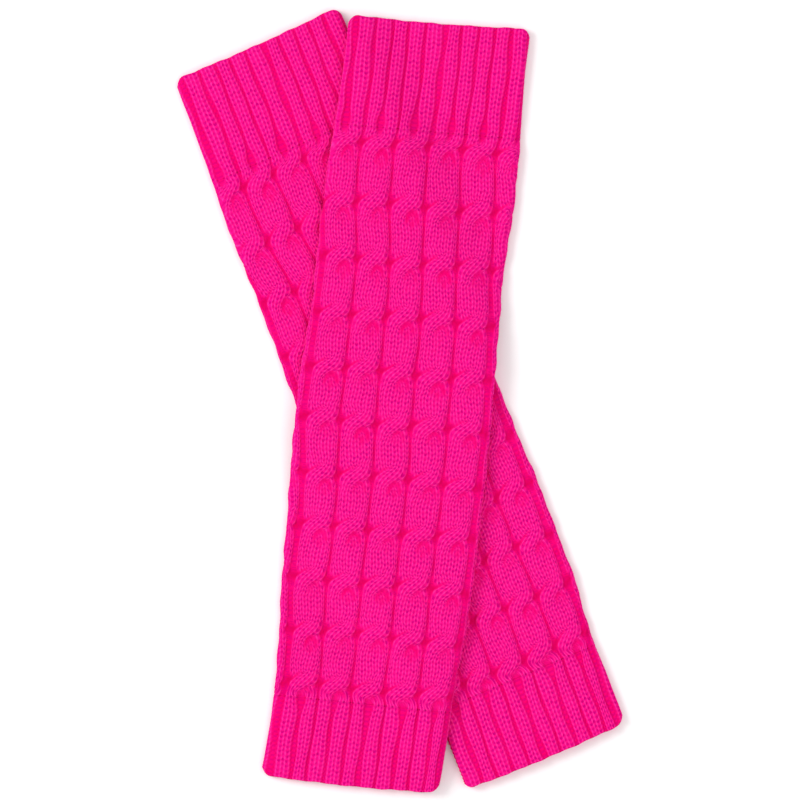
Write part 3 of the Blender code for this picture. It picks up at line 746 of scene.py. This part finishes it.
def outer_surface(warmer, along, knit, seen):
    """World points of the outside: the front, both folds and the flat underside."""
    front = seen[0]
    rim = 1.0 - np.sqrt(1.0 - np.clip(1.0 - warmer.depth(along) / RIM_SETBACK, 0.0, 1.0) ** 2)

    def rise(turn):
        stitch_fade = 1.0 - smooth((turn / math.pi - STITCH_FADE_START) / STITCH_FADE_REACH)
        raised = knit.rise[:, front] * facing_up(turn) + knit.stitch[:, front] * stitch_fade
        return raised * (1.0 - RIM_LOWERED * rim[:, front])

    shape = (along[:, front], knit.wale[:, front])
    across_front, height_front = warmer.round_the_fold(*shape, FOLD_RADIUS, FOLD_RADIUS, rise)
    above = np.clip(height_front / FOLD_RADIUS - 1.0, 0.0, 1.0)
    height_front = height_front - above * rim[:, front] * (1.0 - RIM_SHARE) * PURL_WALL
    across, height = underside(across_front, height_front, knit.wale, front, 0.0)
    towards = np.where(along < warmer.length / 2, 1.0, -1.0)
    side = 2.0 * (knit.wale % 1.0) - 1.0
    visible = np.clip(height / FOLD_RADIUS, 0.0, 1.0) * seen
    near_mouth = 1.0 - smooth(warmer.depth(along) / SCALLOP_REACH)
    scallop = towards * near_mouth * RIB_SCALLOP * (1.0 - ribs(side) / RIB_RISE) * visible
    return warmer.settle(along + scallop, across, height)


def inner_surface(warmer, along, wale, seen):
    """World points of the slit inside, one for each of the outside's."""
    front = seen[0]
    radius = SLIT / 2
    across, height = warmer.round_the_fold(
        along[:, front], wale[:, front], radius, BACK_WALL + radius, lambda turn: 0.0 * turn
    )
    return warmer.settle(along, *underside(across, height, wale, front, BACK_WALL))


def underside(across_front, height_front, wale, front, level):
    """Across and height of whole rings: the front's, then the underside's, spread evenly between its ends."""
    last, first = across_front[:, -1:], across_front[:, :1]
    wale_last, wale_first = wale[:, front][:, -1:], wale[:, :1] + CABLES_ROUND
    share = (wale[:, ~front] - wale_last) / (wale_first - wale_last)
    back = last + (first - last) * share
    return np.concatenate([across_front, back], axis=1), np.concatenate(
        [height_front, np.full_like(back, level)], axis=1
    )


def wrapped(values, reference, expected):
    """values less whole turns, so that they differ from reference by about what is expected."""
    off = values - reference - expected
    return reference + expected + off - np.round(off)


def corner_coordinates(column, straight, course, rows_course):
    """Stitch coordinates for the four corners of each face, with no jump inside a face."""

    def corners(grid):
        ahead = np.roll(grid, -1, axis=0)
        return [grid, np.roll(grid, -1, axis=1), np.roll(ahead, -1, axis=1), ahead]

    turn = np.zeros_like(straight)
    turn[-1] = CABLES_ROUND * WALES_TO_CABLE
    step = np.roll(straight, -1) + turn - straight
    steps = [0.0, step[None, :], step[None, :], 0.0]
    rise = np.roll(rows_course, -1) - rows_course
    rises = [0.0, 0.0, rise[:, None], rise[:, None]]
    columns = [wrapped(corner, column, ahead) for corner, ahead in zip(corners(column), steps)]
    courses = [wrapped(corner, course, ahead) for corner, ahead in zip(corners(course), rises)]
    return np.stack([np.stack(columns, axis=-1), np.stack(courses, axis=-1)], axis=-1)


def knitted_wall(name, warmer, start, end, mouth, first_course, material):
    """One closed wall of the tube, as a grid of rings: down the outside, round the rim and up the inside."""
    front, back = front_columns(), underside_columns()
    straight = np.concatenate([front, back])
    seen_row = np.arange(len(straight)) < len(front)
    rows, courses = stretch_rows(start, end, mouth)
    inner_rows = np.unique(np.concatenate([rows[::INNER_STEP], rows[-1:]]))[::-1]
    every_row = np.concatenate([rows, inner_rows])
    along = np.repeat(every_row[:, None], len(straight), axis=1)
    row_course = first_course + (every_row - start) * courses / (end - start)
    course = np.repeat(row_course[:, None], len(straight), axis=1)
    column = np.repeat(straight[None, :], len(every_row), axis=0)
    seen = np.repeat(seen_row[None, :], len(every_row), axis=0)
    knit = Knit(warmer, along, column, course, seen)
    outside = np.arange(len(every_row)) < len(rows)
    knit.purl[~outside] = 1.0
    # The inside of the tube gets painted shade.
    knit.hollow[~outside] = INSIDE_SHADE
    outer = outer_surface(warmer, along, knit, seen)[outside]
    inner = inner_surface(warmer, along, knit.wale, seen)[~outside]
    points = np.concatenate([outer, inner])
    uv = corner_coordinates(knit.column, straight, knit.course, row_course)
    obj = ring_grid(name, points * MM, uv)
    for attribute in ("purl", "hollow", "pit_shade"):
        add_attribute(obj.data, attribute, getattr(knit, attribute))
    flat_rings = [len(rows) - 1] if mouth != end else []
    flat_rings += [len(every_row) - 1] if mouth != start else []
    shade(obj.data, len(straight), flat_rings)
    obj.data.materials.append(material)
    return obj, first_course + courses


def ring_grid(name, points, uv):
    """A mesh from a grid of rings that closes on itself both ways, with the uv of every face corner."""
    rings, count = points.shape[:2]
    index = np.arange(rings * count).reshape(rings, count)
    ahead = np.roll(index, -1, axis=0)
    faces = np.stack([index, np.roll(index, -1, axis=1), np.roll(ahead, -1, axis=1), ahead], axis=-1)
    faces = faces[..., ::-1].reshape(-1, 4)
    uv = uv[..., ::-1, :].reshape(-1, 2)
    mesh = bpy.data.meshes.new(name)
    mesh.vertices.add(rings * count)
    mesh.vertices.foreach_set("co", points.astype(np.float32).ravel())
    mesh.loops.add(faces.size)
    mesh.loops.foreach_set("vertex_index", faces.astype(np.int32).ravel())
    mesh.polygons.add(len(faces))
    mesh.polygons.foreach_set("loop_start", np.arange(0, faces.size, 4, dtype=np.int32))
    layer = mesh.uv_layers.new(name="knit")
    layer.data.foreach_set("uv", uv.astype(np.float32).ravel())
    mesh.update(calc_edges=True)
    obj = bpy.data.objects.new(name, mesh)
    bpy.context.scene.collection.objects.link(obj)
    return obj


def add_attribute(mesh, name, values):
    attribute = mesh.attributes.new(name, "FLOAT", "POINT")
    attribute.data.foreach_set("value", values.astype(np.float32).ravel())


def shade(mesh, count, flat_rings):
    """Smooth faces, apart from the ends that meet another stretch of the tube."""
    smooth_face = np.ones(len(mesh.polygons), dtype=bool)
    for ring in flat_rings:
        smooth_face[ring * count : (ring + 1) * count] = False
    mesh.polygons.foreach_set("use_smooth", smooth_face)


class Graph:
    """Adds nodes to a material, wired to what they are given."""

    def __init__(self, material):
        material.use_nodes = True
        self.tree = material.node_tree
        self.shader = self.tree.nodes["Principled BSDF"]

    def add(self, kind, inputs=(), **settings):
        node = self.tree.nodes.new(kind)
        for name, value in settings.items():
            setattr(node, name, value)
        for socket, value in inputs:
            self.give(node.inputs[socket], value)
        return node

    def give(self, socket, value):
        if isinstance(value, bpy.types.NodeSocket):
            self.tree.links.new(value, socket)
        else:
            socket.default_value = value

    def math(self, operation, *values):
        return self.add("ShaderNodeMath", enumerate(values), operation=operation).outputs[0]

    def plus(self, first, second):
        return self.math("ADD", first, second)

    def minus(self, first, second):
        return self.math("SUBTRACT", first, second)

    def times(self, first, second):
        return self.math("MULTIPLY", first, second)

    def ramp(self, value, low, high, start=0.0, end=1.0):
        """start where value is low, end where it is high, and an S between."""
        inputs = zip(("Value", "From Min", "From Max", "To Min", "To Max"), (value, low, high, start, end))
        return self.add("ShaderNodeMapRange", inputs, interpolation_type="SMOOTHSTEP").outputs[0]

    def mix(self, share, first, second):
        inputs = ((0, share), (6, first), (7, second))
        return self.add("ShaderNodeMix", inputs, data_type="RGBA").outputs[2]

    def attribute(self, name):
        return self.add("ShaderNodeAttribute", attribute_name=name).outputs["Fac"]

    def noise(self, vector, scale, detail):
        inputs = (("Vector", vector), ("Scale", scale), ("Detail", detail))
        return self.add("ShaderNodeTexNoise", inputs).outputs[0]

    def surface(self, settings):
        for socket, value in settings.items():
            self.shader.inputs[socket].default_value = value


class ShadedStitch:
    """Shader values that say where in its stitch a point is: how far off the wale's middle, how far along a
    leg's slant, how deep in the gap between legs, and how high in its row. They follow stitch_heights."""

    def __init__(self, graph):
        uv = graph.add("ShaderNodeUVMap", uv_map="knit").outputs[0]
        parts = graph.add("ShaderNodeSeparateXYZ", ((0, uv),)).outputs
        self.column, course = parts[0], parts[1]
        self.purl, self.hollow = graph.attribute("purl"), graph.attribute("hollow")
        self.knit = graph.minus(1.0, self.purl)
        centred = graph.minus(graph.math("FRACT", self.column), 0.5)
        self.off = graph.times(graph.math("ABSOLUTE", centred), 2.0)
        self.slant = graph.plus(course, graph.times(self.off, LEG_LEAN))
        turned = graph.math("COSINE", graph.times(self.slant, 2.0 * math.pi))
        self.gap = graph.minus(0.5, graph.times(turned, 0.5))
        self.row = graph.math("COSINE", graph.times(course, 2.0 * math.pi))
        drawn_out = ((0, graph.times(self.column, FIBRE_STRETCH)), (1, self.slant))
        along_legs = graph.add("ShaderNodeCombineXYZ", drawn_out).outputs[0]
        self.fibres = graph.noise(along_legs, *FIBRE_NOISE)


def yarn_height(graph, at):
    """Height of the fine bumps: a V of two legs to each knit stitch, a row to each purl one, and fibres."""
    hole_depth = graph.ramp(at.gap, 0.0, 1.0, HOLE_LEAST, 1.0)
    hole = graph.times(graph.ramp(at.off, 0.0, HOLE_HALF, 1.0, 0.0), hole_depth)
    dash_depth = graph.ramp(at.gap, 0.0, 1.0, DASH_LEAST, 1.0)
    dash = graph.times(graph.ramp(at.off, DASH_START, 1.0), dash_depth)
    sunk = graph.plus(graph.plus(hole, dash), graph.times(at.gap, LEG_DIP))
    rows = graph.plus(PURL_MIDDLE, graph.times(at.row, PURL_SWING))
    stitches = graph.plus(graph.times(graph.minus(1.0, sunk), at.knit), graph.times(rows, at.purl))
    return graph.plus(stitches, graph.times(at.fibres, FIBRE_HEIGHT))


def painted_stitch_shade(graph, at):
    """How much painted shade each stitch's dot and dashes get: some stitches show theirs more than others."""
    dots = graph.times(graph.ramp(at.off, *DOT_ACROSS, 1.0, 0.0), graph.ramp(at.gap, *DOT_ALONG))
    dashes = graph.ramp(at.gap, *DASH_ALONG, DASH_SHOWN, 1.0)
    dashes = graph.times(graph.ramp(at.off, *DASH_ACROSS), dashes)
    leg = ((0, graph.math("FLOOR", graph.times(at.column, 2.0))), (1, graph.math("FLOOR", at.slant)))
    leg = graph.add("ShaderNodeCombineXYZ", leg).outputs[0]
    uneven = graph.add("ShaderNodeTexWhiteNoise", (("Vector", leg),), noise_dimensions="2D").outputs[0]
    return graph.times(graph.plus(dots, dashes), graph.ramp(uneven, 0.0, 1.0, UNEVEN_SHOWN, 1.0))


def yarn_colour(graph, at):
    """A painted highlight on knit legs, darker fibres, and painted shade in stitch marks, hollows, gutters
    and pits.
    """
    shown = graph.times(at.knit, graph.minus(1.0, graph.times(at.hollow, SMOOTHED)))
    colour = graph.mix(graph.ramp(at.fibres, *FIBRE_DARKENING, 0.0, FIBRE_DARKEST), YARN, SHADE_AND_DARK_FIBRE)
    # A painted highlight along the legs of the knit stitches.
    ridge = graph.times(graph.ramp(at.off, *RIDGE_FROM), graph.ramp(at.off, *RIDGE_TO, 1.0, 0.0))
    ridge = graph.times(graph.times(ridge, shown), graph.ramp(at.gap, 0.0, 1.0, *RIDGE_SHOWN))
    colour = graph.mix(ridge, colour, RIDGE_HIGHLIGHT)
    # Painted shade in each stitch's hole and between its wale and the next.
    colour = graph.mix(graph.times(painted_stitch_shade(graph, at), shown), colour, SHADE_AND_DARK_FIBRE)
    # Painted shade in hollows and gutters, stronger in patches.
    place = graph.add("ShaderNodeTexCoord").outputs["Object"]
    patches = graph.ramp(graph.noise(place, *PATCH_NOISE), *PATCH_VALUES, *PATCH_SHOWN)
    colour = graph.mix(graph.times(at.hollow, patches), colour, RECESS_SHADE)
    # Painted shade on the low parts of the purl rows in hollows.
    low_row_shade = graph.ramp(at.row, *RIPPLE_ROWS, RIPPLE_SHOWN, 0.0)
    colour = graph.mix(graph.times(graph.times(at.purl, at.hollow), low_row_shade), colour, SHADE_AND_DARK_FIBRE)
    # Painted shade in the pits beside the crossings.
    return graph.mix(graph.attribute("pit_shade"), colour, PIT_SHADE)


def yarn_material(name, fuzz):
    """Soft acrylic yarn, knitted, with a fuzz of fine fibres."""
    material = bpy.data.materials.new(name)
    graph = Graph(material)
    at = ShadedStitch(graph)
    bump = graph.add("ShaderNodeBump", (("Strength", BUMP_STRENGTH), ("Distance", BUMP_DEPTH * MM)))
    graph.give(bump.inputs["Height"], yarn_height(graph, at))
    graph.give(graph.shader.inputs["Normal"], bump.outputs[0])
    graph.give(graph.shader.inputs["Base Color"], yarn_colour(graph, at))
    graph.surface(YARN_SURFACE)
    graph.shader.inputs["Sheen Weight"].default_value = fuzz
    return material


def floor_material():
    material = bpy.data.materials.new("pale_floor")
    Graph(material).surface(FLOOR_SURFACE)
    return material


def floor():
    bpy.ops.mesh.primitive_plane_add(size=FLOOR_SIZE, location=(0.0, 0.0, -FLOOR_DROP * MM))
    plane = bpy.context.object
    plane.name = "floor"
    plane.data.materials.append(floor_material())


def lamp(name, energy, size, place):
    """A square area lamp that points at the middle of the pair."""
    light = bpy.data.lights.new(name, "AREA")
    light.energy = energy
    light.size = size
    obj = bpy.data.objects.new(name, light)
    obj.location = place
    obj.rotation_euler = (-obj.location).to_track_quat("-Z", "Y").to_euler()
    obj.visible_camera = False
    bpy.context.scene.collection.objects.link(obj)


def lighting():
    world = bpy.data.worlds.new("soft_white")
    world.use_nodes = True
    background = world.node_tree.nodes["Background"]
    background.inputs["Color"].default_value = WHITE
    background.inputs["Strength"].default_value = WORLD_STRENGTH
    bpy.context.scene.world = world
    for row in LAMPS:
        lamp(*row)


def camera():
    data = bpy.data.cameras.new("camera")
    data.sensor_width = SENSOR
    data.lens = SENSOR * CAMERA_HEIGHT / VIEW_WIDTH
    data.clip_end = 2.0 * CAMERA_HEIGHT
    obj = bpy.data.objects.new("camera", data)
    obj.location = (VIEW_MIDDLE_X, VIEW_MIDDLE_Y, CAMERA_HEIGHT)
    bpy.context.scene.collection.objects.link(obj)
    bpy.context.scene.camera = obj


def around(warmer, start, end):
    """The flat size of a stretch of tube cut open: its mean width all round, and its length, in metres."""
    rows = np.linspace(start, end, WIDTH_SAMPLES)
    width = np.mean(warmer.at("right", rows) - warmer.at("left", rows))
    return (2.0 * width * MM, (end - start) * MM)


def dress(name, warmer, rib, cable):
    """The three stretches of one leg warmer, each in place of its solid."""
    stretches = (
        ("knee_cuff", 0.0, KNEE_CUFF_LENGTH, 0.0, "rib_knit", rib),
        ("cabled_leg", KNEE_CUFF_LENGTH, ANKLE_CUFF_START, None, "cable_knit", cable),
        ("ankle_cuff", ANKLE_CUFF_START, warmer.length, warmer.length, "rib_knit", rib),
    )
    course = 0
    for part, start, end, mouth, slot, material in stretches:
        node = name + "_" + part
        piece, course = knitted_wall(node + "_knit", warmer, start, end, mouth, course, material)
        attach(piece, "root")
        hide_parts(node)
        around(warmer, start, end)


rib = yarn_material("pink_rib_knit", RIB_FUZZ)
cable = yarn_material("pink_cable_knit", CABLE_FUZZ)
under = LegWarmer(UNDER_SECTIONS, UNDER_MIDDLE, UNDER_SWING)
upper = LegWarmer(UPPER_SECTIONS, UPPER_MIDDLE, UPPER_SWING, lies_on=under)
dress("under", under, rib, cable)
dress("upper", upper, rib, cable)
floor()
lighting()
camera()
bpy.context.scene.view_settings.view_transform = "Standard"
